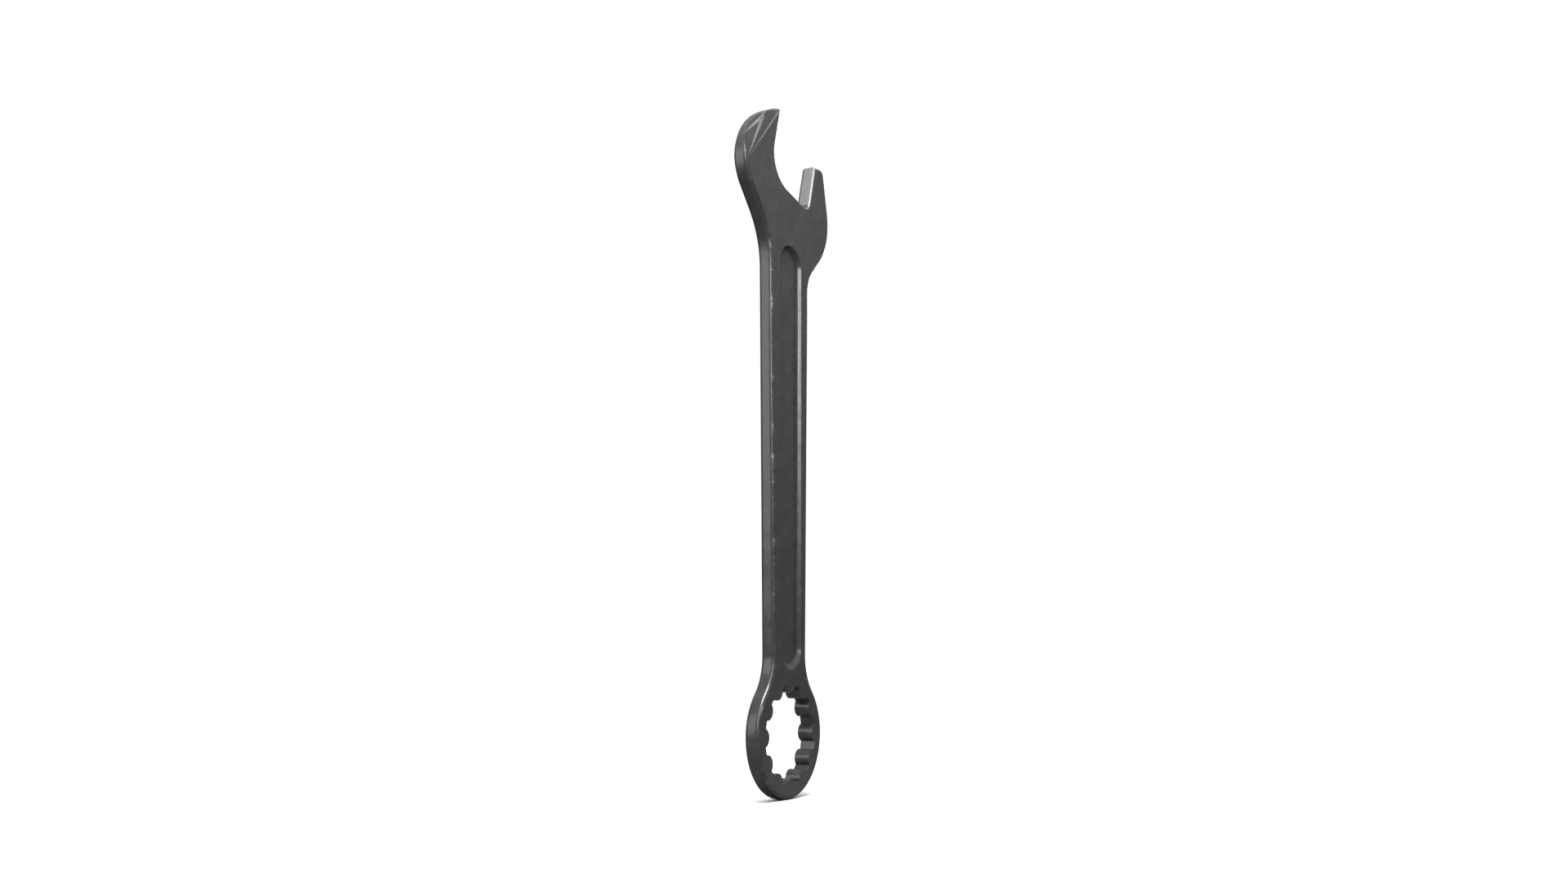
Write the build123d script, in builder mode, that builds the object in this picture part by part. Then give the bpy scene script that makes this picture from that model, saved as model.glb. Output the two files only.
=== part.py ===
"""Combination wrench: one flat drop forging with an open end and a twelve-point box end.

The wrench stands along +Z.  The origin is the middle of the box-end hole, half way
through the thickness, and the front face looks along -Y.  Everything is in millimetres.
"""
import os
from math import cos, radians, sin, tan

from build123d import *

# Fastener that both ends fit
nut_sides = 6
nominal_size = 24.0          # across the flats of the bolt head or nut
box_clearance = 0.1          # added across the flats of the box end
jaw_clearance = 0.3          # added across the faces of the open end

# Whole wrench
centre_distance = 169.3      # box-end centre to open-end centre
thickness = 5.0
head_angle = 15.0            # lean of the open end from the length

# Box end
lobe_count = 12
lobe_radius = 2.75           # rounded drive lobes that press on the flats
corner_clearance = 0.85      # between a nut's corner and the bottom of a valley
valley_round = 0.3           # at the foot of each lobe
ring_wall = 4.05             # steel left outside the valleys

# Shank
width_at_box = 18.2          # measured at the box-end centre
width_at_head = 24.0         # measured at the open-end centre
ring_blend = 16.0            # where the shank's sides run into the ring
hook_blend = 26.0            # where they run into the hook's back
heel_blend = 11.0            # where they run into the heel

# Open end, measured in a frame that leans with the jaw
throat_depth = 0.9           # lowest point of the throat below the open-end centre
throat_radius = 10.3         # on the hook's side
throat_corner = 3.0          # on the short prong's side
hook_length = 22.8           # tip of the hook above the open-end centre
hook_back_radius = 15.0
hook_back_inset = 0.3        # centre of that curve behind the hook's jaw face
hook_back_height = 2.05      # and above the open-end centre
hook_neck_slope = 40.0       # of the hook's back below that curve, from the length
hook_tip_slope = 56.0        # where that curve hands over to the tip, in the jaw's frame
prong_length = 16.1          # top of the short prong's jaw face above the open-end centre
prong_top_slope = 20.0       # of the prong's top, rising outwards
prong_top_round = 2.2
prong_slope = 12.0           # of the short prong's outer edge, from the length
heel_radius = 18.5
heel_inset = 4.2             # centre of that curve inside the prong's jaw face
heel_drop = 3.5              # and below the open-end centre
heel_slope = 45.0            # of the heel's underside, from the length

# Grooves, one in each face
groove_depth = 1.3
groove_draft = 30.0          # slope of the groove's wall
land_at_box = 3.35           # flat left beside the groove at its lower end
land_at_head = 5.15          # and at its upper end
groove_to_ring = 0.6         # from the ring's rim to the lower end
groove_to_throat = 17.5      # from the upper end to the throat
groove_floor_round = 0.5
groove_rim_round = 0.3

# Edges, and the flat ground on each side of the hook's tip
outer_round = 1.4
jaw_round = 0.7
hole_round = 0.25
relief_turn = 12.0           # how far up round the hook's back each flat starts
relief_tilt = 14.0           # of the flat from the face

# Sizes that follow
box_flats = nominal_size + box_clearance
jaw_opening = nominal_size + jaw_clearance
half_jaw = jaw_opening / 2
half_thickness = thickness / 2
lobe_step = 360 / lobe_count
half_corner = 180 / nut_sides
lobe_centre = (box_flats / 2 + lobe_radius) / cos(radians(lobe_step / 2))
valley_radius = nominal_size / 2 / cos(radians(half_corner)) + corner_clearance
side_gain = (width_at_head - width_at_box) / centre_distance / 2
ring_radius = valley_radius + ring_wall
groove_top = centre_distance - throat_depth - groove_to_throat
beyond = centre_distance     # far enough to pass any edge of the head
touch = 0.01                 # allowed when a place is compared with a size

jaw_plane = Plane(
    origin=(0, 0, centre_distance),
    x_dir=(cos(radians(head_angle)), 0, -sin(radians(head_angle))),
    z_dir=(0, -1, 0),
)


def half_width(height):
    """Half of the shank's width at a height above the box-end centre."""
    return width_at_box / 2 + side_gain * height


def direction(angle):
    """Unit step at an angle, in the plane of a sketch."""
    return Vector(cos(radians(angle)), sin(radians(angle)))


def on_circle(centre, radius, angle):
    """Point of a circle at an angle, both in the jaw's frame."""
    return Vector(centre) + direction(angle) * radius


def foot_on_axis(start, slope):
    """Where a line sloping down from a point of the head meets the shank's middle line."""
    place = jaw_plane.from_local_coords(Vector(start))
    height = place.Z - abs(place.X) / tan(radians(slope))
    return jaw_plane.to_local_coords(Vector(0, 0, height))


def crossing(start, angle, other_start, other_angle):
    """Where two lines of the head's plan cross, each given by a point and an angle."""
    gap = Vector(other_start) - Vector(start)
    along = direction(angle)
    across = direction(other_angle)
    run = (gap.X * across.Y - gap.Y * across.X) / (along.X * across.Y - along.Y * across.X)
    return Vector(start) + along * run


def nearest(shapes, place):
    """The one of several shapes that lies nearest a point of the jaw's frame."""
    return shapes.sort_by_distance(jaw_plane.from_local_coords(Vector(place)))[0]


def shank_corner(line_point, slope):
    """Where a line sloping down from a point of the head crosses the shank's side."""
    place = jaw_plane.from_local_coords(Vector(line_point))
    side = 1 if place.X > 0 else -1
    run = abs(place.X) - half_width(place.Z)
    height = place.Z - run / (tan(radians(slope)) - side_gain)
    return jaw_plane.to_local_coords(Vector(side * half_width(height), 0, height))


def rim_edges(solid, of_throat):
    """Edges round both faces: those along the throat and jaw faces, or all the others."""
    chosen = []
    flat_faces = (solid.faces() | Axis.Y).sort_by(Axis.Y)
    for face in (flat_faces[0], flat_faces[-1]):
        for edge in face.outer_wire().edges():
            place = jaw_plane.to_local_coords(edge @ 0.5)
            beside = abs(place.X) < half_jaw + touch and place.Y > -throat_depth - touch
            if beside == of_throat:
                chosen.append(edge)
    return chosen


def in_hole(edge):
    """True for an edge round a mouth of the twelve-point hole."""
    place = edge @ 0.5
    return Vector(place.X, 0, place.Z).length < valley_radius + touch


def edges_at_depth(solid, depth):
    """Outlines of the grooves at a depth below the faces."""
    level = half_thickness - depth
    chosen = []
    for edge in solid.edges():
        place = edge @ 0.5
        along = ring_radius < place.Z < groove_top + touch
        beside = abs(place.X) < high_round + touch
        if along and beside and abs(abs(place.Y) - level) < touch:
            chosen.append(edge)
    return chosen


# Corners of the head's plan, all in the jaw's frame
hook_centre = (-half_jaw - hook_back_inset, hook_back_height)
hook_tip = (-half_jaw, hook_length)
hook_shoulder = on_circle(hook_centre, hook_back_radius, 90 + hook_tip_slope)
hook_side = on_circle(hook_centre, hook_back_radius, 180 + head_angle)
hook_neck = on_circle(hook_centre, hook_back_radius, 180 + head_angle + hook_neck_slope)
hook_foot = foot_on_axis(hook_neck, hook_neck_slope)
heel_centre = (half_jaw - heel_inset, -heel_drop)
heel_under = on_circle(heel_centre, heel_radius, head_angle - heel_slope)
heel_side = on_circle(heel_centre, heel_radius, head_angle)
heel_over = on_circle(heel_centre, heel_radius, head_angle + prong_slope)
heel_foot = foot_on_axis(heel_under, heel_slope)
prong_inner = (half_jaw, prong_length)
prong_outer_angle = 90 + head_angle + prong_slope
prong_corner = crossing(prong_inner, prong_top_slope, heel_over, prong_outer_angle)
hook_root = (-half_jaw, -throat_depth)
prong_root = (half_jaw, -throat_depth)

with BuildSketch(jaw_plane) as head_plan:
    with BuildLine():
        TangentArc(hook_shoulder, hook_tip, tangent=direction(hook_tip_slope))
        Polyline(hook_tip, prong_inner, prong_corner, heel_over)
        ThreePointArc(heel_over, heel_side, heel_under)
        Polyline(heel_under, heel_foot, hook_foot, hook_neck)
        ThreePointArc(hook_neck, hook_side, hook_shoulder)
    make_face()

# Throat between the jaw faces: wide towards the hook, tight towards the short prong
with BuildSketch(jaw_plane) as throat_plan:
    with BuildLine():
        Polyline((-half_jaw, beyond), hook_root, prong_root, (half_jaw, beyond), close=True)
    make_face()
    fillet(nearest(throat_plan.vertices(), hook_root), throat_radius)
    fillet(nearest(throat_plan.vertices(), prong_root), throat_corner)

with BuildSketch(Plane.XZ) as shank_plan:
    with BuildLine():
        Polyline(
            (-half_width(0), 0),
            (half_width(0), 0),
            (half_width(centre_distance), centre_distance),
            (-half_width(centre_distance), centre_distance),
            close=True,
        )
    make_face()

with BuildSketch(Plane.XZ) as ring_plan:
    Circle(ring_radius)

# Twelve-point hole: the circle of the valleys, less the drive lobes that stand into it
with BuildSketch(Plane.XZ) as hole_plan:
    Circle(valley_radius)
    with PolarLocations(lobe_centre, lobe_count, start_angle=90):
        Circle(lobe_radius, mode=Mode.SUBTRACT)
    fillet(hole_plan.vertices(), valley_round)

# Groove: two round ends joined by straight sides, on the front face and on the back one
low_round = half_width(ring_radius) - land_at_box
high_round = half_width(groove_top) - land_at_head
low_centre = ring_radius + groove_to_ring + low_round
high_centre = groove_top - high_round
face_planes = [
    Plane(origin=(0, -half_thickness, 0), x_dir=(1, 0, 0), z_dir=(0, -1, 0)),
    Plane(origin=(0, half_thickness, 0), x_dir=(-1, 0, 0), z_dir=(0, 1, 0)),
]
groove_plans = []
for face_plane in face_planes:
    with BuildSketch(face_plane) as groove_plan:
        with Locations((0, low_centre)):
            Circle(low_round)
        with Locations((0, high_centre)):
            Circle(high_round)
        make_hull()
    groove_plans.append(groove_plan.sketch)

# Flats on the hook: each is a plane that leaves the face along a line from the tip to the
# hook's back, and sinks towards the back's upper side
relief_start = on_circle(hook_centre, hook_back_radius, 180 - relief_turn)
crease = (relief_start - Vector(hook_tip)).normalized()
crease_line = jaw_plane.x_dir * crease.X + jaw_plane.y_dir * crease.Y
crease_out = jaw_plane.x_dir * crease.Y - jaw_plane.y_dir * crease.X
relief_planes = []
for side in (-1, 1):
    relief_planes.append(
        Plane(
            origin=jaw_plane.from_local_coords(Vector(hook_tip)) + Vector(0, side * half_thickness),
            x_dir=crease_line,
            z_dir=Vector(0, side * cos(radians(relief_tilt))) + crease_out * sin(radians(relief_tilt)),
        )
    )

with BuildPart() as wrench:
    # Blank, full thickness
    extrude(shank_plan.sketch, amount=half_thickness, both=True)
    extrude(ring_plan.sketch, amount=half_thickness, both=True)
    extrude(head_plan.sketch, amount=half_thickness, both=True)

    # Blends where the shank meets the ring, the hook's back and the heel
    fillet((wrench.edges() | Axis.Y).group_by(Axis.Z)[0], ring_blend)
    fillet(nearest(wrench.edges() | Axis.Y, shank_corner(hook_neck, hook_neck_slope)), hook_blend)
    fillet(nearest(wrench.edges() | Axis.Y, shank_corner(heel_under, heel_slope)), heel_blend)
    fillet(nearest(wrench.edges() | Axis.Y, prong_corner), prong_top_round)

    # Throat, and the rounded edges all round the plan
    extrude(throat_plan.sketch, amount=thickness, both=True, mode=Mode.SUBTRACT)
    fillet(rim_edges(wrench, of_throat=False), outer_round)
    fillet(rim_edges(wrench, of_throat=True), jaw_round)

    # Twelve-point hole
    extrude(hole_plan.sketch, amount=thickness, both=True, mode=Mode.SUBTRACT)
    mouths = (wrench.edges() - (wrench.edges() | Axis.Y)).filter_by(in_hole)
    fillet(mouths, hole_round)

    # Grooves
    for groove_plan in groove_plans:
        extrude(groove_plan, amount=-groove_depth, taper=groove_draft, mode=Mode.SUBTRACT)
    fillet(edges_at_depth(wrench, groove_depth), groove_floor_round)
    fillet(edges_at_depth(wrench, 0), groove_rim_round)

    # Flats ground on the hook's tip
    for relief_plane in relief_planes:
        with BuildSketch(relief_plane):
            Rectangle(beyond, beyond)
        extrude(amount=beyond, mode=Mode.SUBTRACT)


wrench.part.label = "wrench"
os.makedirs("parts", exist_ok=True)
export_step(wrench.part, "parts/wrench.step")
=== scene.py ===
"""Combination wrench: the finished look of a drop-forged hand tool.

The forging is drawn as one outline, given its thickness, rounded, and cut: the twelve-point
hole, a groove in each face and the flats ground on the hook's tip.  Sizes are in metres,
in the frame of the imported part: +Z up the shank, the front face towards -Y.
"""
from math import atan2, ceil, cos, degrees, hypot, pi, radians, sin, sqrt, tan

import bmesh
import bpy
import numpy as np
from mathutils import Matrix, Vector


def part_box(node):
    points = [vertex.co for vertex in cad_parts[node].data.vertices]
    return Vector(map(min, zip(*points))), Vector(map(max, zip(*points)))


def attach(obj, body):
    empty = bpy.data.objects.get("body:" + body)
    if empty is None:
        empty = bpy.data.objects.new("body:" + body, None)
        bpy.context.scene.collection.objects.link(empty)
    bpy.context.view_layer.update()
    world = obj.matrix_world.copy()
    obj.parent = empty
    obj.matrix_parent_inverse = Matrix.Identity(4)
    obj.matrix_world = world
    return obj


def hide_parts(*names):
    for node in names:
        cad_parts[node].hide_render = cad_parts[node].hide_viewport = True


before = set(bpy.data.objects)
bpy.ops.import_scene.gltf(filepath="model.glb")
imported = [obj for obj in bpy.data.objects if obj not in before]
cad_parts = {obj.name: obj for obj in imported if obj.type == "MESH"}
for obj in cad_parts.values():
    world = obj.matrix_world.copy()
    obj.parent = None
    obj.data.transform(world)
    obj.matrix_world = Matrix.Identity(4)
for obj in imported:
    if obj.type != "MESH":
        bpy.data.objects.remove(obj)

bl_info = {
    "name": "Combination Wrench",
    "version": (1, 0, 0),
    "blender": (4, 5, 0),
    "location": "3D View > Sidebar > Wrench",
    "description": "Builds a forged combination wrench and a plain studio for it",
    "category": "Add Mesh",
}

MM = 0.001
TOUCH = 0.01 * MM              # allowed when a place is compared with a size
HOLE_POINTS = 12
NUT_SIDES = 6
FLAT = 0.99995                 # cosine between the normals of a flat and of its faces
FACING = 0.99                  # the same, for a face that roughly faces one way
CLEAR = 2.0 * MM               # how far a cutter stands out of the steel
ARC_STEP = 4.0                 # degrees of an arc between two points of an outline
RIM_STEPS = 7                  # facets across the forging's rims
CREASE_STEPS = 4               # across the creases and the floor of the groove
FINE_STEPS = 3                 # across the remaining edges
FINE_ANGLE = 28.0              # degrees; a sharper edge than this is rounded
SMOOTH_ANGLE = 35.0            # degrees; a sharper edge than this stays sharp in the shading
FACE_WEIGHT = 90               # how much large faces lead the shading of small ones
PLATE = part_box("wrench")       # lowest and highest corner of the whole tool


# ---------------------------------------------------------------- properties

def length(name, description, millimetres):
    """A size that shows in the sidebar, given in millimetres and kept in metres."""
    return bpy.props.FloatProperty(
        name=name,
        description=description,
        default=millimetres * MM,
        min=0.0,
        precision=5,
        unit="LENGTH",
    )


def angle(name, description, in_degrees):
    """An angle that shows in the sidebar."""
    return bpy.props.FloatProperty(
        name=name,
        description=description,
        default=radians(in_degrees),
        unit="ROTATION",
    )


def colour(name, description, value):
    """A linear colour that shows in the sidebar."""
    return bpy.props.FloatVectorProperty(
        name=name,
        description=description,
        default=value,
        min=0.0,
        max=1.0,
        size=3,
        subtype="COLOR",
    )


def share(name, description, value):
    """A share from none to all that shows in the sidebar."""
    return bpy.props.FloatProperty(
        name=name,
        description=description,
        default=value,
        min=0.0,
        max=1.0,
        subtype="FACTOR",
    )


class WrenchSizes(bpy.types.PropertyGroup):
    """Sizes of the forging."""

    nominal: length("Nominal size", "Across the flats of the nut that both ends fit", 24.0)
    box_clearance: length("Box clearance", "Added across the flats of the box end", 0.1)
    jaw_clearance: length("Jaw clearance", "Added across the jaw faces", 0.3)
    centres: length("Centre distance", "From the box end's centre to the open end's", 169.3)
    head_angle: angle("Head angle", "Lean of the open end from the shank", 15.0)

    lobe_radius: length("Lobe radius", "Radius of the lobes that drive the nut", 2.75)
    corner_clearance: length("Corner clearance", "From a nut's corner to its valley", 0.85)
    ring_wall: length("Ring wall", "Steel outside the valleys of the box end", 4.05)
    width_at_box: length("Width at box end", "Shank width at the box end's centre", 18.2)
    width_at_head: length("Width at head", "Shank width at the open end's centre", 24.0)
    ring_blend: length("Ring blend", "Radius where the shank meets the ring", 16.0)
    hook_blend: length("Hook blend", "Radius where the shank meets the hook", 26.0)
    heel_blend: length("Heel blend", "Radius where the shank meets the heel", 11.0)

    throat_depth: length("Throat depth", "Throat below the open end's centre", 0.9)
    throat_radius: length("Throat radius", "Radius of the throat beside the hook", 10.3)
    throat_corner: length("Throat corner", "Radius of the throat beside the prong", 3.0)
    hook_length: length("Hook length", "Tip of the hook above the open end's centre", 22.8)
    hook_back_radius: length("Hook back radius", "Radius of the hook's back", 15.0)
    hook_back_inset: length("Hook back inset", "That curve's centre behind the jaw face", 0.3)
    hook_back_height: length("Hook back height", "That curve's centre above the centre", 2.05)
    hook_neck_slope: angle("Hook neck slope", "Hook's back below that curve", 40.0)
    hook_tip_slope: angle("Hook tip slope", "Where that curve hands over to the tip", 56.0)
    prong_length: length("Prong length", "Top of the prong's jaw face above the centre", 16.1)
    prong_top_slope: angle("Prong top slope", "Rise of the prong's top", 20.0)
    prong_top_round: length("Prong top round", "Radius of the prong's outer corner", 2.2)
    prong_slope: angle("Prong slope", "Lean of the prong's outer edge", 12.0)
    heel_radius: length("Heel radius", "Radius of the heel", 18.5)
    heel_inset: length("Heel inset", "That curve's centre inside the jaw face", 4.2)
    heel_drop: length("Heel drop", "That curve's centre below the centre", 3.5)
    heel_slope: angle("Heel slope", "Underside of the heel", 45.0)

    outer_round: length("Outer round", "Radius of the forging's rims", 1.4)
    jaw_round: length("Jaw round", "Radius of the rims of the jaws", 0.7)
    fine_round: length("Fine round", "Radius of the remaining edges", 0.22)

    flat_one: angle("First flat", "Tilt of the flat beside the hook's face", 9.0)
    flat_two: angle("Second flat", "Tilt of the flat next to it", 14.0)
    flat_three: angle("Third flat", "Tilt of the outermost flat", 20.0)
    tip_fall: angle("Tip fall", "Slope of the blunt tip, down to each face", 12.0)
    crease_round: length("Crease round", "Radius of the creases between the flats", 0.6)

    groove_depth: length("Groove depth", "Depth of the groove in each face", 1.3)
    groove_draft: angle("Groove draft", "Slope of the groove's wall", 30.0)
    land_at_box: length("Land at box end", "Flat beside the groove's lower end", 3.35)
    land_at_head: length("Land at head", "Flat beside the groove's upper end", 5.15)
    groove_to_ring: length("Groove to ring", "From the ring's rim to the groove", 0.6)
    groove_to_throat: length("Groove to throat", "From the groove to the throat", 17.5)
    groove_run_out: length("Groove run-out", "Extra slope of the groove's lower end", 0.8)
    groove_floor_round: length("Groove floor round", "Radius along the groove's floor", 0.5)


class WrenchFinish(bpy.types.PropertyGroup):
    """Colours and wear of the steel."""

    oxide: colour("Oxide", "Dark finish of the forged skin", (0.030, 0.030, 0.031))
    # steel also paints the highlights on the creases of the hook's tip and on the rims of the
    # jaws
    steel: colour("Steel", "Bare steel where the finish is worn off", (0.54, 0.54, 0.54))
    wear: share("Wear", "How much of the rims is worn bright", 0.5)


class StudioSettings(bpy.types.PropertyGroup):
    """Camera, floor and lights."""

    azimuth: angle("Azimuth", "Camera's turn round the tool", -59.4)
    elevation: angle("Elevation", "Camera's height above the horizon", -8.2)
    lens: bpy.props.FloatProperty(
        name="Lens", description="Focal length", default=31.875, min=1.0, unit="CAMERA"
    )
    distance: length("Distance", "From the camera to the point it looks at", 429.2)
    aim_height: length("Aim height", "Of the point that the camera looks at", 89.14)
    floor_colour: colour("Floor", "Colour of the floor", (0.92, 0.92, 0.92))
    fill: share("Fill", "Strength of the light from all round", 0.42)


# ---------------------------------------------------------------- drawing and selecting

def sketch_point(x, z, level=0.0):
    """A place in the plan as a place in space."""
    return Vector((x, level, z))


def deselect_all():
    """Nothing stays selected, so that the next operator acts on its own piece alone."""
    if bpy.context.object and bpy.context.object.mode != "OBJECT":
        bpy.ops.object.mode_set(mode="OBJECT")
    bpy.ops.object.select_all(action="DESELECT")


def make_active(piece):
    """Selects one piece and nothing else."""
    deselect_all()
    piece.select_set(True)
    bpy.context.view_layer.objects.active = piece


class Pen:
    """Draws an outline in edit mode, point by point, in a plane of equal Y."""

    def __init__(self, name, start, level=0.0):
        deselect_all()
        bpy.ops.mesh.primitive_plane_add(size=MM)
        self.piece = bpy.context.object
        self.piece.name = name
        self.level = level
        self.at = Vector(start)
        bpy.ops.object.mode_set(mode="EDIT")
        bpy.ops.mesh.select_mode(type="VERT")
        bpy.ops.mesh.select_all(action="SELECT")
        bpy.ops.mesh.merge(type="CENTER")
        bpy.ops.transform.translate(value=sketch_point(*self.at, level))

    def line_to(self, end):
        """A straight side."""
        step = Vector(end) - self.at
        bpy.ops.mesh.extrude_region_move(TRANSFORM_OT_translate={"value": sketch_point(*step)})
        self.at = Vector(end)

    def arc(self, centre, sweep):
        """An arc about a centre; a positive sweep runs anticlockwise seen from the front."""
        centre = Vector(centre)
        bpy.ops.mesh.spin(
            steps=max(2, ceil(abs(sweep) / ARC_STEP)),
            angle=radians(sweep),
            center=sketch_point(*centre, self.level),
            axis=(0, 1, 0),
        )
        self.at = centre + turned(self.at - centre, sweep)

    def corner(self, at, after, radius):
        """A straight side that ends in a rounded corner, on the way to another point."""
        at, after = Vector(at), Vector(after)
        inward = (at - self.at).normalized()
        outward = (after - at).normalized()
        sweep = atan2(inward.x * outward.y - inward.y * outward.x, inward.dot(outward))
        start = at - inward * radius * tan(abs(sweep) / 2)
        side = radius if sweep > 0 else -radius
        self.line_to(start)
        self.arc(start + Vector((-inward.y, inward.x)) * side, degrees(sweep))

    def close(self):
        """Joins the two ends and fills the outline with a face."""
        bpy.ops.mesh.select_all(action="SELECT")
        bpy.ops.mesh.remove_doubles(threshold=TOUCH)
        bpy.ops.mesh.edge_face_add()
        return self.piece


def turned(vector, by_degrees):
    """A plan vector turned anticlockwise."""
    c, s = cos(radians(by_degrees)), sin(radians(by_degrees))
    return Vector((vector.x * c - vector.y * s, vector.x * s + vector.y * c))


def towards(degrees_up):
    """Unit plan vector at an angle from +X."""
    return Vector((cos(radians(degrees_up)), sin(radians(degrees_up))))


def crossing(start, along, other_start, across):
    """Where two plan lines cross, each given by a point and a direction."""
    gap = other_start - start
    run = (gap.x * across.y - gap.y * across.x) / (along.x * across.y - along.y * across.x)
    return start + along * run


def select(kind, test):
    """In edit mode, selects just the vertices, edges or faces that pass a test."""
    bpy.ops.mesh.select_mode(type=kind)
    bpy.ops.mesh.select_all(action="DESELECT")
    work = bmesh.from_edit_mesh(bpy.context.object.data)
    work.normal_update()
    parts = {"VERT": work.verts, "EDGE": work.edges, "FACE": work.faces}[kind]
    chosen = [part for part in parts if test(part)]
    if not chosen:
        raise RuntimeError(f"nothing to select among the {kind.lower()} parts")
    for part in chosen:
        part.select_set(True)
    work.select_flush_mode()
    bmesh.update_edit_mesh(bpy.context.object.data)


def middle(edge):
    """Middle of an edge."""
    return (edge.verts[0].co + edge.verts[1].co) / 2


def to_solid(piece, run):
    """Gives a filled outline its thickness, with faces that point outwards."""
    bpy.ops.mesh.select_all(action="SELECT")
    bpy.ops.mesh.extrude_region_move(TRANSFORM_OT_translate={"value": (0, run, 0)})
    bpy.ops.mesh.select_all(action="SELECT")
    bpy.ops.mesh.normals_make_consistent(inside=False)
    bpy.ops.object.mode_set(mode="OBJECT")
    return piece


def apply_modifier(piece, kind, **settings):
    """Adds one modifier and applies it."""
    make_active(piece)
    modifier = piece.modifiers.new(kind.title(), kind)
    for name, value in settings.items():
        setattr(modifier, name, value)
    bpy.ops.object.modifier_apply(modifier=modifier.name)


def cut(piece, cutter):
    """Takes a cutter's shape out of a piece, and throws the cutter away."""
    apply_modifier(piece, "BOOLEAN", operation="DIFFERENCE", solver="EXACT", object=cutter)
    mesh = cutter.data
    bpy.data.objects.remove(cutter)
    bpy.data.meshes.remove(mesh)


# ---------------------------------------------------------------- the forging

class Plan:
    """Places in the plan of the forging that several of its parts share."""

    def __init__(self, sizes):
        self.lean = degrees(sizes.head_angle)
        self.centre = Vector((0, sizes.centres))
        self.half_thickness = PLATE[1].y
        self.half_jaw = (sizes.nominal + sizes.jaw_clearance) / 2
        self.valley = sizes.nominal / 2 / cos(pi / NUT_SIDES) + sizes.corner_clearance
        self.ring = self.valley + sizes.ring_wall
        self.throat_depth = sizes.throat_depth
        self.jaw_round = sizes.jaw_round
        self.half_box = sizes.width_at_box / 2
        self.gain = (sizes.width_at_head - sizes.width_at_box) / sizes.centres / 2

        hook = (-self.half_jaw - sizes.hook_back_inset, sizes.hook_back_height)
        self.hook_centre = self.jaw(*hook)
        self.hook_tip = self.jaw(-self.half_jaw, sizes.hook_length)
        self.heel_centre = self.jaw(self.half_jaw - sizes.heel_inset, -sizes.heel_drop)

    def jaw(self, x, y):
        """A place in the jaw's own leaning frame, as a place in the plan."""
        return self.centre + turned(Vector((x, y)), -self.lean)

    def in_jaw(self, place):
        """The other way: a place in space, as a place in the jaw's frame."""
        return turned(Vector((place.x, place.z)) - self.centre, self.lean)

    def half_width(self, height):
        """Half of the shank's width at a height."""
        return self.half_box + self.gain * height

    def side(self, height, sign):
        """A place on one of the shank's sides."""
        return Vector((sign * self.half_width(height), height))

    def ring_blend(self, radius):
        """Centre of the blend on the right, and where it touches the ring and the shank."""
        square = hypot(1, self.gain)
        normal = Vector((1, -self.gain)) / square
        along = Vector((self.gain, 1)) / square
        out = self.half_box / square
        up = sqrt((self.ring + radius) ** 2 - (out + radius) ** 2)
        centre = normal * (out + radius) + along * up
        on_ring = centre * (self.ring / (self.ring + radius))
        return centre, on_ring, normal * out + along * up


def sweep_between(centre, start, end, anticlockwise=True):
    """Signed angle in degrees from one point to another about a centre."""
    one, two = start - centre, end - centre
    sweep = degrees(atan2(one.x * two.y - one.y * two.x, one.dot(two))) % 360
    return sweep if anticlockwise else sweep - 360


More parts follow.
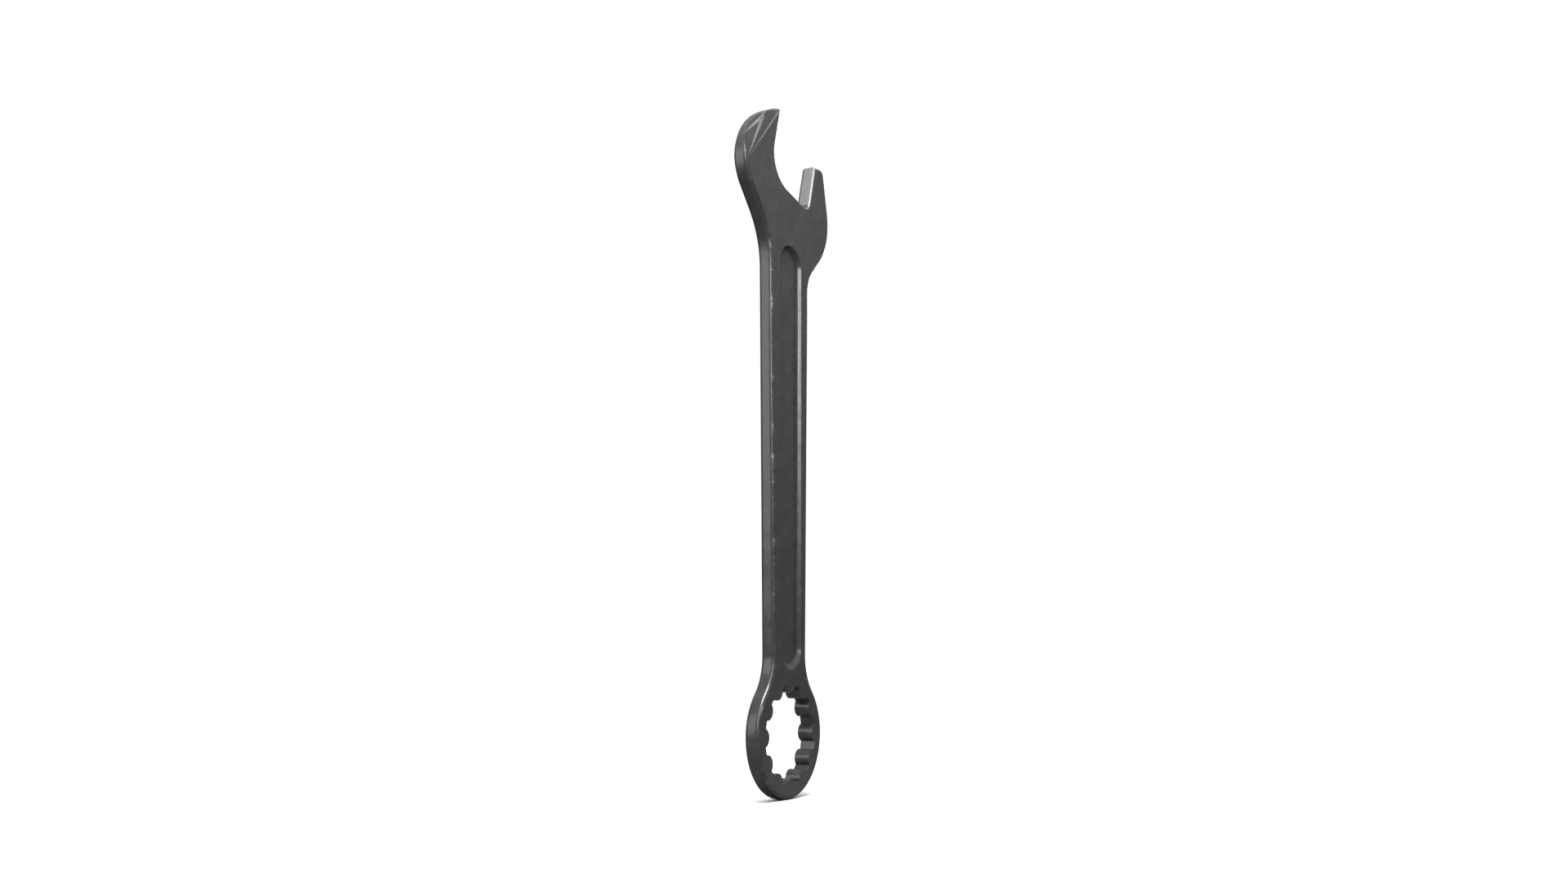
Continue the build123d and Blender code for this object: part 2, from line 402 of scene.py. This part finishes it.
def draw_blank(plan, sizes):
    """The outline of the whole forging, filled."""
    centre, on_ring, on_side = plan.ring_blend(sizes.ring_blend)
    mirror = Vector((-1, 1))
    left_centre, left_ring, left_side = centre * mirror, on_ring * mirror, on_side * mirror

    # Up the right side: ring, blend, shank, heel and the prong's outer edge
    heel_under = plan.heel_centre + towards(-degrees(sizes.heel_slope)) * sizes.heel_radius
    heel_over = plan.heel_centre + towards(degrees(sizes.prong_slope)) * sizes.heel_radius
    right_up = (plan.side(sizes.centres, 1) - plan.side(0, 1)).normalized()
    heel_down = -towards(90 - degrees(sizes.heel_slope))
    heel_corner = crossing(heel_under, heel_down, plan.side(0, 1), right_up)
    pen = Pen("wrench_forging", on_ring, -plan.half_thickness)
    pen.arc(centre, sweep_between(centre, on_ring, on_side, anticlockwise=False))
    pen.corner(heel_corner, heel_under, sizes.heel_blend)
    pen.line_to(heel_under)
    pen.arc(plan.heel_centre, degrees(sizes.heel_slope + sizes.prong_slope))

    # The short prong, the throat and the hook's jaw face
    prong_inner = plan.jaw(plan.half_jaw, sizes.prong_length)
    prong_top = towards(degrees(sizes.prong_top_slope) - plan.lean)
    prong_out = towards(90 + degrees(sizes.prong_slope))
    prong_corner = crossing(prong_inner, prong_top, heel_over, prong_out)
    pen.corner(prong_corner, prong_inner, sizes.prong_top_round)
    pen.line_to(prong_inner)
    prong_root = plan.jaw(plan.half_jaw, -sizes.throat_depth)
    hook_root = plan.jaw(-plan.half_jaw, -sizes.throat_depth)
    pen.corner(prong_root, hook_root, sizes.throat_corner)
    pen.corner(hook_root, plan.hook_tip, sizes.throat_radius)
    pen.line_to(plan.hook_tip)

    # Over the tip, an arc that meets the hook's back without a corner
    shoulder_angle = 90 + degrees(sizes.hook_tip_slope) - plan.lean
    shoulder = plan.hook_centre + towards(shoulder_angle) * sizes.hook_back_radius
    chord = plan.hook_tip - shoulder
    inward = -towards(shoulder_angle)
    tip_centre = shoulder + inward * (chord.length_squared / (2 * chord.dot(inward)))
    pen.arc(tip_centre, sweep_between(tip_centre, plan.hook_tip, shoulder))

    # Down the left side: the hook's back, its neck, the shank and the other blend
    neck_angle = 180 + degrees(sizes.hook_neck_slope)
    neck = plan.hook_centre + towards(neck_angle) * sizes.hook_back_radius
    left_up = (plan.side(sizes.centres, -1) - plan.side(0, -1)).normalized()
    neck_corner = crossing(neck, towards(neck_angle + 90), plan.side(0, -1), left_up)
    pen.arc(plan.hook_centre, neck_angle - shoulder_angle)
    pen.corner(neck_corner, left_side, sizes.hook_blend)
    pen.line_to(left_side)
    pen.arc(left_centre, sweep_between(left_centre, left_side, left_ring, anticlockwise=False))
    pen.arc(Vector((0, 0)), sweep_between(Vector((0, 0)), left_ring, on_ring))
    return pen.close()


def round_rims(piece, plan, sizes):
    """Rounds both rims of the plate: full round outside, less along the jaws."""
    jaw_share = sizes.jaw_round / sizes.outer_round

    def on_rim(edge):
        flat = abs(edge.verts[0].co.y - edge.verts[1].co.y) < TOUCH
        return flat and abs(abs(edge.verts[0].co.y) - plan.half_thickness) < TOUCH

    def of_jaws(edge):
        place = plan.in_jaw(middle(edge))
        beside = abs(place.x) < plan.half_jaw + TOUCH and place.y > -plan.throat_depth - TOUCH
        return on_rim(edge) and beside

    make_active(piece)
    bpy.ops.object.mode_set(mode="EDIT")
    select("EDGE", lambda edge: on_rim(edge) and not of_jaws(edge))
    bpy.ops.transform.edge_bevelweight(value=1.0)
    select("EDGE", of_jaws)
    bpy.ops.transform.edge_bevelweight(value=jaw_share)
    bpy.ops.object.mode_set(mode="OBJECT")
    apply_modifier(
        piece,
        "BEVEL",
        limit_method="WEIGHT",
        width=sizes.outer_round,
        segments=RIM_STEPS,
        use_clamp_overlap=False,
    )


def corner_angle(beside, across, opposite):
    """Angle between two sides of a triangle, from its three sides."""
    ratio = (beside * beside + across * across - opposite * opposite) / (2 * beside * across)
    return atan2(sqrt(max(0.0, 1 - ratio * ratio)), ratio)


def hole_cutter(plan, sizes):
    """A prism with the plan of the twelve-point hole: valleys, and hollows for the lobes."""
    step = 360 / HOLE_POINTS
    flats = (sizes.nominal + sizes.box_clearance) / 2
    lobe_out = (flats + sizes.lobe_radius) / cos(radians(step / 2))
    # Where a lobe's circle crosses the valleys' circle, as angles about both centres
    half_lobe = degrees(corner_angle(plan.valley, lobe_out, sizes.lobe_radius))
    lobe_turn = 180 - degrees(corner_angle(sizes.lobe_radius, lobe_out, plan.valley))
    start = towards(90 + half_lobe) * plan.valley
    pen = Pen("hole_cutter", start, -2 * plan.half_thickness)
    for number in range(HOLE_POINTS):
        lobe_angle = 90 + (number + 1) * step
        pen.arc(Vector((0, 0)), step - 2 * half_lobe)
        pen.arc(towards(lobe_angle) * lobe_out, -2 * (180 - lobe_turn))
    pen.close()
    return to_solid(pen.piece, 4 * plan.half_thickness)


def groove_cutter(plan, sizes, turns):
    """A long tapered boat with a rounded bottom, as deep as the groove.

    It is drawn for the front face, and half a turn takes it to the back.
    """
    groove_top = sizes.centres - sizes.throat_depth - sizes.groove_to_throat
    low_round = plan.half_width(plan.ring) - sizes.land_at_box
    high_round = plan.half_width(groove_top) - sizes.land_at_head
    low = Vector((0, plan.ring + sizes.groove_to_ring + low_round))
    high = Vector((0, groove_top - high_round))
    tip = degrees(atan2(high_round - low_round, (high - low).length))
    face = -plan.half_thickness
    floor = face + sizes.groove_depth

    pen = Pen("groove_cutter", low + towards(180 - tip) * low_round, face - CLEAR)
    pen.arc(low, 180 + 2 * tip)
    pen.line_to(high + towards(-tip) * high_round)
    pen.arc(high, 180 - 2 * tip)
    pen.close()
    bpy.ops.mesh.extrude_region_move(TRANSFORM_OT_translate={"value": (0, CLEAR, 0)})
    bpy.ops.mesh.select_all(action="SELECT")
    bpy.ops.mesh.normals_make_consistent(inside=False)
    # The inner cap goes down to the floor, drawn in by the draft, and its edge is rounded
    select("FACE", lambda part: part.normal.y > FACING)
    drawn_in = sizes.groove_depth * tan(sizes.groove_draft)
    bpy.ops.mesh.inset(thickness=drawn_in, depth=sizes.groove_depth)
    # The lower end runs out in a longer slope than the sides
    halfway = (low.y + high.y) / 2
    select("VERT", lambda vertex: abs(vertex.co.y - floor) < TOUCH and vertex.co.z < halfway)
    bpy.ops.transform.translate(value=(0, 0, sizes.groove_run_out))
    bpy.ops.mesh.select_mode(type="EDGE")
    select("EDGE", lambda edge: all(abs(v.co.y - floor) < TOUCH for v in edge.verts))
    bpy.ops.mesh.bevel(offset=sizes.groove_floor_round, segments=CREASE_STEPS, affect="EDGES")
    bpy.ops.mesh.select_all(action="SELECT")
    bpy.ops.transform.rotate(value=pi * turns, orient_axis="Z", center_override=(0, 0, 0))
    bpy.ops.object.mode_set(mode="OBJECT")
    return pen.piece


# Ends of the creases where the flats start, in mm from the foot of the hook's jaw face
CREASE_ENDS = (
    ((-1.2, 20.8), (-7.9, 6.8)),
    ((-8.2, 14.4), (-10.1, 7.8)),
    ((-7.5, 15.7), (-13.8, 6.2)),
)


def tip_flats(plan, sizes):
    """Planes of the flats ground on the hook's tip, front side first, with their outward normals.

    Each flat starts at a crease on the flat before it, or on the face, and sinks outwards.
    """
    tilts = (sizes.flat_one, sizes.flat_two, sizes.flat_three)
    planes = []
    for side in (-1, 1):
        place, normal = Vector((0, side * plan.half_thickness, 0)), Vector((0, side, 0))
        for tilt, ends in zip(tilts, CREASE_ENDS):
            points = []
            for x, y in ends:
                point = sketch_point(*plan.jaw(x * MM - plan.half_jaw, y * MM))
                gap = point - Vector((place.x, 0, place.z))
                point.y = place.y - (gap.x * normal.x + gap.z * normal.z) / normal.y
                points.append(point)
            crease = (points[1] - points[0]).normalized()
            outward = Vector((crease.z, 0, -crease.x)).normalized()
            if outward.x > 0:
                outward.negate()
            normal = Vector((0, side * cos(tilt), 0)) + outward * sin(tilt)
            normal = (normal - crease * normal.dot(crease)).normalized()
            place = points[0]
            planes.append((place, normal))
    return planes


def tip_top(sizes):
    """Planes that blunt the very tip of the hook, one on each side of its middle."""
    top = Vector((0, 0, PLATE[1].z))
    tilt = sizes.tip_fall
    return [(top, Vector((0, side * sin(tilt), cos(tilt)))) for side in (-1, 1)]


def grind_flats(piece, planes):
    """Cuts the flats on the hook's tip, one plane after another, and closes each cut."""
    make_active(piece)
    bpy.ops.object.mode_set(mode="EDIT")
    bpy.ops.mesh.select_mode(type="VERT")
    for place, normal in planes:
        bpy.ops.mesh.select_all(action="SELECT")
        bpy.ops.mesh.bisect(
            plane_co=place, plane_no=normal, use_fill=True, clear_outer=True, threshold=TOUCH / 10
        )
    bpy.ops.object.mode_set(mode="OBJECT")


def soften_creases(piece, plan, sizes, planes):
    """Rounds the creases between the flats, and between the first ones and the faces."""
    outward = [Vector((0, side, 0)) for side in (-1, 1)]
    front, back = [(normal * plan.half_thickness, normal) for normal in outward]
    a_side = len(CREASE_ENDS)
    chains = [[front] + planes[:a_side], [back] + planes[a_side:]]

    def on(plane, point):
        return abs((point - plane[0]).dot(plane[1])) < TOUCH

    def on_crease(edge):
        ends = [vertex.co for vertex in edge.verts]
        if (ends[0] - ends[1]).length < sizes.crease_round:
            return False
        for chain in chains:
            for index, one in enumerate(chain):
                for other in chain[index + 1:]:
                    if all(on(one, end) and on(other, end) for end in ends):
                        return True
        return False

    make_active(piece)
    bpy.ops.object.mode_set(mode="EDIT")
    select("EDGE", on_crease)
    bpy.ops.mesh.bevel(offset=sizes.crease_round, segments=CREASE_STEPS, affect="EDGES")
    # The rounded creases go into a vertex group, which later marks where the painted highlight
    # goes
    bpy.ops.object.vertex_group_assign_new()
    bpy.ops.object.mode_set(mode="OBJECT")


def build_forging(plan, sizes, planes):
    """The whole wrench as one closed mesh."""
    forging = draw_blank(plan, sizes)
    to_solid(forging, 2 * plan.half_thickness)
    round_rims(forging, plan, sizes)
    cut(forging, hole_cutter(plan, sizes))
    for turns in (0, 1):
        cut(forging, groove_cutter(plan, sizes, turns))
    grind_flats(forging, planes + tip_top(sizes))
    soften_creases(forging, plan, sizes, planes)
    apply_modifier(
        forging,
        "BEVEL",
        limit_method="ANGLE",
        angle_limit=radians(FINE_ANGLE),
        width=sizes.fine_round,
        segments=FINE_STEPS,
        use_clamp_overlap=True,
    )
    return forging


# ---------------------------------------------------------------- the finish and its painted highlights

RIM_DEPTH = 1.4 * MM           # wear of the rims ends this far below the face
CREASE_START = 4.0 * MM        # the painted highlight on the creases starts this high above the open end's centre, and is full when this much higher
CREASE_FADE = 5.0 * MM         # and fully when this much higher
WAVE_SCALE = 60                # noise of the skin, in features to the metre
PATCH_SCALE = 260
SPECKLE_SCALE = 900
GRAIN_SCALE = 2600
LINE_SCALE = (5200, 5200, 120)
BUMP_DEPTH = 0.4 * MM          # height of the bump where its noise is one


def mark_surface(piece, plan, flats):
    """Writes what the finish needs to know, as attributes of the mesh.

    rim is how rounded the steel is, crease where a highlight is painted on the creases of the
    hook's tip, bright where a highlight is painted on the rims of the jaws, and machined the jaw
    faces themselves.
    """
    mesh = piece.data
    places = np.empty(len(mesh.vertices) * 3)
    mesh.vertices.foreach_get("co", places)
    places = places.reshape(-1, 3)
    normals = np.array([normal.vector for normal in mesh.vertex_normals])
    lean = np.abs(normals[:, 1])
    depth = plan.half_thickness - np.abs(places[:, 1])
    shallow = np.clip((RIM_DEPTH - depth) / MM, 0, 1)
    in_jaw = np.array([plan.in_jaw(vertex.co) for vertex in mesh.vertices])
    beside = np.abs(in_jaw[:, 0]) < plan.half_jaw + plan.jaw_round + TOUCH
    inside = beside & (in_jaw[:, 1] > -plan.throat_depth - plan.jaw_round - TOUCH)
    rim = 4 * lean ** 2 * (1 - lean ** 2) * shallow
    # crease: a painted highlight on the rounded creases of the hook's tip, fading in above the
    # open end's centre
    near_tip = np.clip((in_jaw[:, 1] - CREASE_START) / CREASE_FADE, 0, 1)
    crease = near_tip * [1.0 if vertex.groups else 0.0 for vertex in mesh.vertices]

    machined = []
    for face in mesh.polygons:
        place = plan.in_jaw(face.center)
        jaw_normal = turned(Vector((face.normal.x, face.normal.z)), plan.lean)
        on_jaw = abs(abs(place.x) - plan.half_jaw) < TOUCH and abs(jaw_normal.x) > FACING
        machined.append(1.0 if on_jaw else 0.0)
        if any(face.normal.dot(flat) > FLAT for flat in flats):
            rim[face.vertices] = 0.0
            crease[face.vertices] = 0.0
    # bright: a painted highlight along the rims of the jaws, away from the creases
    bright = np.where(inside & (crease == 0), rim, 0.0)
    for name, values in (("rim", rim), ("crease", crease), ("bright", bright)):
        mesh.attributes.new(name, "FLOAT", "POINT").data.foreach_set("value", values)
    mesh.attributes.new("machined", "FLOAT", "FACE").data.foreach_set("value", machined)
    piece.vertex_groups.clear()


class Nodes:
    """Adds nodes to a material one after another, and joins them by name."""

    def __init__(self, material):
        material.use_nodes = True
        self.tree = material.node_tree
        self.tree.nodes.clear()

    def add(self, kind, inputs=None, **settings):
        """One node, with its settings, its values and the sockets that feed it."""
        node = self.tree.nodes.new(kind)
        for name, value in settings.items():
            setattr(node, name, value)
        for name, value in (inputs or {}).items():
            socket = node.inputs[name]
            if isinstance(value, bpy.types.NodeSocket):
                self.tree.links.new(value, socket)
            else:
                socket.default_value = value
        return node

    def math(self, operation, one, two):
        """A sum, a product or the like of two numbers or sockets."""
        return self.add("ShaderNodeMath", {0: one, 1: two}, operation=operation).outputs[0]

    def span(self, value, low, high, to_low=0.0, to_high=1.0):
        """A value's stretch from low to high, spread smoothly over another one."""
        inputs = {
            "Value": value,
            "From Min": low,
            "From Max": high,
            "To Min": to_low,
            "To Max": to_high,
        }
        return self.add("ShaderNodeMapRange", inputs, interpolation_type="SMOOTHSTEP").outputs[0]

    def noise(self, place, scale, detail, roughness=0.55):
        """Noise in space; scale is in features to the metre."""
        inputs = {"Vector": place, "Scale": scale, "Detail": detail, "Roughness": roughness}
        return self.add("ShaderNodeTexNoise", inputs).outputs[0]

    def stretched(self, place, scale):
        """A place with its axes stretched."""
        return self.add("ShaderNodeMapping", {"Vector": place, "Scale": scale}).outputs[0]

    def mix_colour(self, share_of, one, two):
        """One colour, going over to another."""
        inputs = {0: share_of, 6: one, 7: two}
        return self.add("ShaderNodeMix", inputs, data_type="RGBA").outputs[2]

    def mix_value(self, share_of, one, two):
        """One number, going over to another."""
        inputs = {0: share_of, 2: one, 3: two}
        return self.add("ShaderNodeMix", inputs, data_type="FLOAT").outputs[0]

    def attribute(self, name):
        """A value that the mesh carries."""
        return self.add("ShaderNodeAttribute", attribute_name=name).outputs["Fac"]


def shade(colour_value, factor=1.0):
    """A colour made lighter or darker, with the opacity that a colour socket asks for."""
    return (*(factor * value for value in colour_value), 1.0)


def forged_steel(finish):
    """Dark satin skin of a forging, worn to bare steel along its rims, with machined jaws, and
    painted highlights of bare steel on the tip's creases and the jaws' rims.
    """
    material = bpy.data.materials.new("forged_steel")
    n = Nodes(material)
    place = n.add("ShaderNodeTexCoord").outputs["Object"]
    rim, machined, crease, bright = map(n.attribute, ("rim", "machined", "crease", "bright"))

    # Slow waves, patches, grain and speckle of the skin, and fine lines of ground steel
    waves = n.noise(place, WAVE_SCALE, 2.0)
    patches = n.noise(place, PATCH_SCALE, 4.0, 0.65)
    grain = n.noise(place, GRAIN_SCALE, 3.0, 0.6)
    speckle = n.noise(place, SPECKLE_SCALE, 5.0, 0.7)
    lines = n.noise(n.stretched(place, LINE_SCALE), 1.0, 2.0)
    striped = n.span(lines, 0.3, 0.7)

    # Wear: along the rims, broken up by the patches and the speckle
    broken = n.math("ADD", n.math("MULTIPLY", patches, 0.7), n.math("MULTIPLY", speckle, 0.3))
    threshold = n.math("ADD", n.math("MULTIPLY", rim, 0.32), broken)
    worn = n.span(threshold, 1.06 - 0.5 * finish.wear, 1.06)
    # Painted highlight: bare steel on the creases of the hook's tip and, weaker, on the rims of
    # the jaws, broken up by the speckle
    painted_highlight = n.math("MAXIMUM", crease, n.math("MULTIPLY", bright, 0.2))
    speckled_highlight = n.math("MULTIPLY", painted_highlight, n.span(speckle, 0.25, 0.5))
    # Bare steel where worn or machined, and where the highlight is painted
    bare_and_highlight = n.math("MAXIMUM", n.math("MAXIMUM", worn, machined), speckled_highlight)

    # Colour: the skin in patches, and lighter and darker lines in bare steel, where worn, where a
    # highlight is painted, and on the machined jaws
    oxide, steel = finish.oxide, finish.steel
    skin = n.mix_colour(n.span(patches, 0.35, 0.7), shade(oxide), shade(oxide, 1.3))
    worn_and_highlight_steel = n.mix_colour(striped, shade(steel, 0.62), shade(steel))
    jaw_steel = n.mix_colour(striped, shade(steel, 0.31), shade(steel, 0.46))
    metal = n.mix_colour(machined, worn_and_highlight_steel, jaw_steel)
    base = n.mix_colour(bare_and_highlight, skin, metal)

    skin_rough = n.span(patches, 0.3, 0.7, 0.23, 0.29)
    worn_and_highlight_rough = n.span(lines, 0.3, 0.7, 0.40, 0.32)
    jaw_rough = n.span(lines, 0.3, 0.7, 0.52, 0.44)
    metal_rough = n.mix_value(machined, worn_and_highlight_rough, jaw_rough)
    rough = n.mix_value(bare_and_highlight, skin_rough, metal_rough)
    metallic = n.mix_value(bare_and_highlight, 0.1, 1.0)

    # The skin is slightly uneven; fine grain sits on top of it, and lines on machined steel
    patch_height = n.math("MULTIPLY", patches, 0.02)
    grain_height = n.math("MULTIPLY", grain, 0.004)
    line_height = n.math("MULTIPLY", n.math("MULTIPLY", lines, machined), 0.01)
    coarse = n.math("ADD", waves, patch_height)
    height = n.math("ADD", coarse, n.math("ADD", grain_height, line_height))
    bump = n.add("ShaderNodeBump", {"Height": height, "Strength": 1.0, "Distance": BUMP_DEPTH})

    inputs = {
        "Base Color": base,
        "Roughness": rough,
        "Metallic": metallic,
        "Normal": bump.outputs[0],
        "Specular IOR Level": 0.5,
    }
    shader = n.add("ShaderNodeBsdfPrincipled", inputs)
    n.add("ShaderNodeOutputMaterial", {"Surface": shader.outputs[0]})
    return material


class WRENCH_OT_forging(bpy.types.Operator):
    """Model the wrench as one forging and give it its finish"""

    bl_idname = "wrench.forging"
    bl_label = "Wrench Forging"

    def execute(self, context):
        sizes = context.scene.wrench_sizes
        plan = Plan(sizes)
        planes = tip_flats(plan, sizes)
        forging = build_forging(plan, sizes, planes)
        make_active(forging)
        bpy.ops.object.shade_smooth_by_angle(angle=radians(SMOOTH_ANGLE))
        apply_modifier(forging, "WEIGHTED_NORMAL", keep_sharp=True, weight=FACE_WEIGHT)
        faces = [Vector((0, side, 0)) for side in (-1, 1)]
        mark_surface(forging, plan, faces + [normal for place, normal in planes])
        forging.data.materials.clear()
        forging.data.materials.append(forged_steel(context.scene.wrench_finish))
        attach(forging, "root")
        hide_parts("wrench")
        return {"FINISHED"}


# ---------------------------------------------------------------- the studio

FLOOR_RADIUS = 1.0
FLOOR_FADE = (0.08, 0.42)      # the floor fades out between these distances from the tool
FLOOR_BOUNCE = 0.2             # share of its colour that lights the tool
DUSK = (-0.25, 0.35)           # the surroundings brighten between these rises of a direction
DUSK_SHARE = 0.15              # their strength low down, as a share of the fill


class WRENCH_OT_studio(bpy.types.Operator):
    """Add the floor, the lights and the camera"""

    bl_idname = "wrench.studio"
    bl_label = "Studio"

    def execute(self, context):
        studio = context.scene.wrench_studio
        add_floor(studio)
        add_world(studio)
        add_lights()
        add_camera(studio)
        return {"FINISHED"}


def add_floor(studio):
    """A wide pale floor under the tool, that fades into the white behind it.

    It throws back less light on the tool than it shows.
    """
    deselect_all()
    bpy.ops.mesh.primitive_circle_add(
        vertices=96, radius=FLOOR_RADIUS, fill_type="NGON", location=(0, 0, PLATE[0].z)
    )
    floor = bpy.context.object
    floor.name = "floor"
    material = bpy.data.materials.new("pale_floor")
    n = Nodes(material)
    place = n.add("ShaderNodeTexCoord").outputs["Object"]
    out = n.add("ShaderNodeVectorMath", {0: place}, operation="LENGTH").outputs["Value"]
    seen = n.add("ShaderNodeLightPath").outputs["Is Camera Ray"]
    pale = studio.floor_colour
    shown = n.mix_colour(seen, shade(pale, FLOOR_BOUNCE), shade(pale))
    paint = n.add("ShaderNodeBsdfDiffuse", {"Color": shown}).outputs[0]
    clear = n.add("ShaderNodeBsdfTransparent").outputs[0]
    faded = n.span(out, *FLOOR_FADE)
    mixed = n.add("ShaderNodeMixShader", {0: faded, 1: paint, 2: clear}).outputs[0]
    n.add("ShaderNodeOutputMaterial", {"Surface": mixed})
    floor.data.materials.append(material)


def add_world(studio):
    """White surroundings, that light the tool more softly than they show, least from below."""
    world = bpy.data.worlds.new("studio_white")
    world.use_nodes = True
    tree = world.node_tree
    background = tree.nodes["Background"]
    background.inputs["Color"].default_value = (1, 1, 1, 1)
    seen = tree.nodes.new("ShaderNodeLightPath").outputs["Is Camera Ray"]
    way = tree.nodes.new("ShaderNodeSeparateXYZ")
    tree.links.new(tree.nodes.new("ShaderNodeTexCoord").outputs["Generated"], way.inputs[0])
    rise = tree.nodes.new("ShaderNodeMapRange")
    rise.inputs["From Min"].default_value = DUSK[0]
    rise.inputs["From Max"].default_value = DUSK[1]
    rise.inputs["To Min"].default_value = studio.fill * DUSK_SHARE
    rise.inputs["To Max"].default_value = studio.fill
    tree.links.new(way.outputs["Z"], rise.inputs["Value"])
    strength = tree.nodes.new("ShaderNodeMapRange")
    strength.inputs["To Max"].default_value = 1.0
    tree.links.new(rise.outputs[0], strength.inputs["To Min"])
    tree.links.new(seen, strength.inputs["Value"])
    tree.links.new(strength.outputs[0], background.inputs["Strength"])
    bpy.context.scene.world = world


def add_light(name, place, aim, width, height, power):
    """One soft box that shines at a place."""
    deselect_all()
    bpy.ops.object.light_add(type="AREA", location=place)
    light = bpy.context.object
    light.name = name
    light.rotation_euler = (Vector(aim) - Vector(place)).to_track_quat("-Z", "Y").to_euler()
    light.data.shape = "RECTANGLE"
    light.data.size = width
    light.data.size_y = height
    light.data.energy = power


def add_lights():
    """Soft boxes: overhead, at the left and the right, close above, and at the front left."""
    aim = (0, 0, (PLATE[0].z + PLATE[1].z) / 2)
    add_light("overhead_box", (-0.10, -0.10, 0.65), (0, 0, 0.16), 0.35, 0.35, 5.0)
    add_light("left_box", (-0.55, 0.33, 0.22), aim, 0.32, 0.34, 0.9)
    add_light("near_box", (-0.15, -0.086, 0.32), aim, 0.12, 0.12, 1.3)
    add_light("right_box", (0.50, 0.13, 0.36), aim, 0.20, 0.20, 0.9)
    add_light("key_box", (-0.53, -0.37, 0.34), aim, 0.07, 0.34, 2.1)


def add_camera(studio):
    """The camera, beside the tool and a little below its middle."""
    turn, rise = studio.azimuth, studio.elevation
    back = Vector((sin(turn) * cos(rise), -cos(turn) * cos(rise), sin(rise)))
    place = Vector((0, 0, studio.aim_height)) + back * studio.distance
    bpy.ops.object.camera_add(location=place)
    camera = bpy.context.object
    camera.rotation_euler = (-back).to_track_quat("-Z", "Y").to_euler()
    camera.data.lens = studio.lens
    camera.data.clip_start = 10 * MM
    bpy.context.scene.camera = camera
    bpy.context.scene.view_settings.view_transform = "Standard"


class WRENCH_PT_sidebar(bpy.types.Panel):
    """Sizes, finish and studio of the wrench"""

    bl_idname = "WRENCH_PT_sidebar"
    bl_label = "Combination Wrench"
    bl_space_type = "VIEW_3D"
    bl_region_type = "UI"
    bl_category = "Wrench"

    def draw(self, context):
        scene = context.scene
        groups = (
            ("Forging", scene.wrench_sizes, WRENCH_OT_forging),
            ("Finish", scene.wrench_finish, None),
            ("Studio", scene.wrench_studio, WRENCH_OT_studio),
        )
        for title, group, button in groups:
            column = self.layout.box().column()
            column.label(text=title)
            for name in type(group).__annotations__:
                column.prop(group, name)
            if button:
                column.operator(button.bl_idname)


CLASSES = (
    WrenchSizes,
    WrenchFinish,
    StudioSettings,
    WRENCH_OT_forging,
    WRENCH_OT_studio,
    WRENCH_PT_sidebar,
)


def register():
    for each in CLASSES:
        bpy.utils.register_class(each)
    bpy.types.Scene.wrench_sizes = bpy.props.PointerProperty(type=WrenchSizes)
    bpy.types.Scene.wrench_finish = bpy.props.PointerProperty(type=WrenchFinish)
    bpy.types.Scene.wrench_studio = bpy.props.PointerProperty(type=StudioSettings)


def unregister():
    del bpy.types.Scene.wrench_studio
    del bpy.types.Scene.wrench_finish
    del bpy.types.Scene.wrench_sizes
    for each in reversed(CLASSES):
        bpy.utils.unregister_class(each)


def main():
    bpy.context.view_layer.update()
    register()
    bpy.ops.wrench.forging()
    bpy.ops.wrench.studio()


if __name__ == "__main__":
    main()
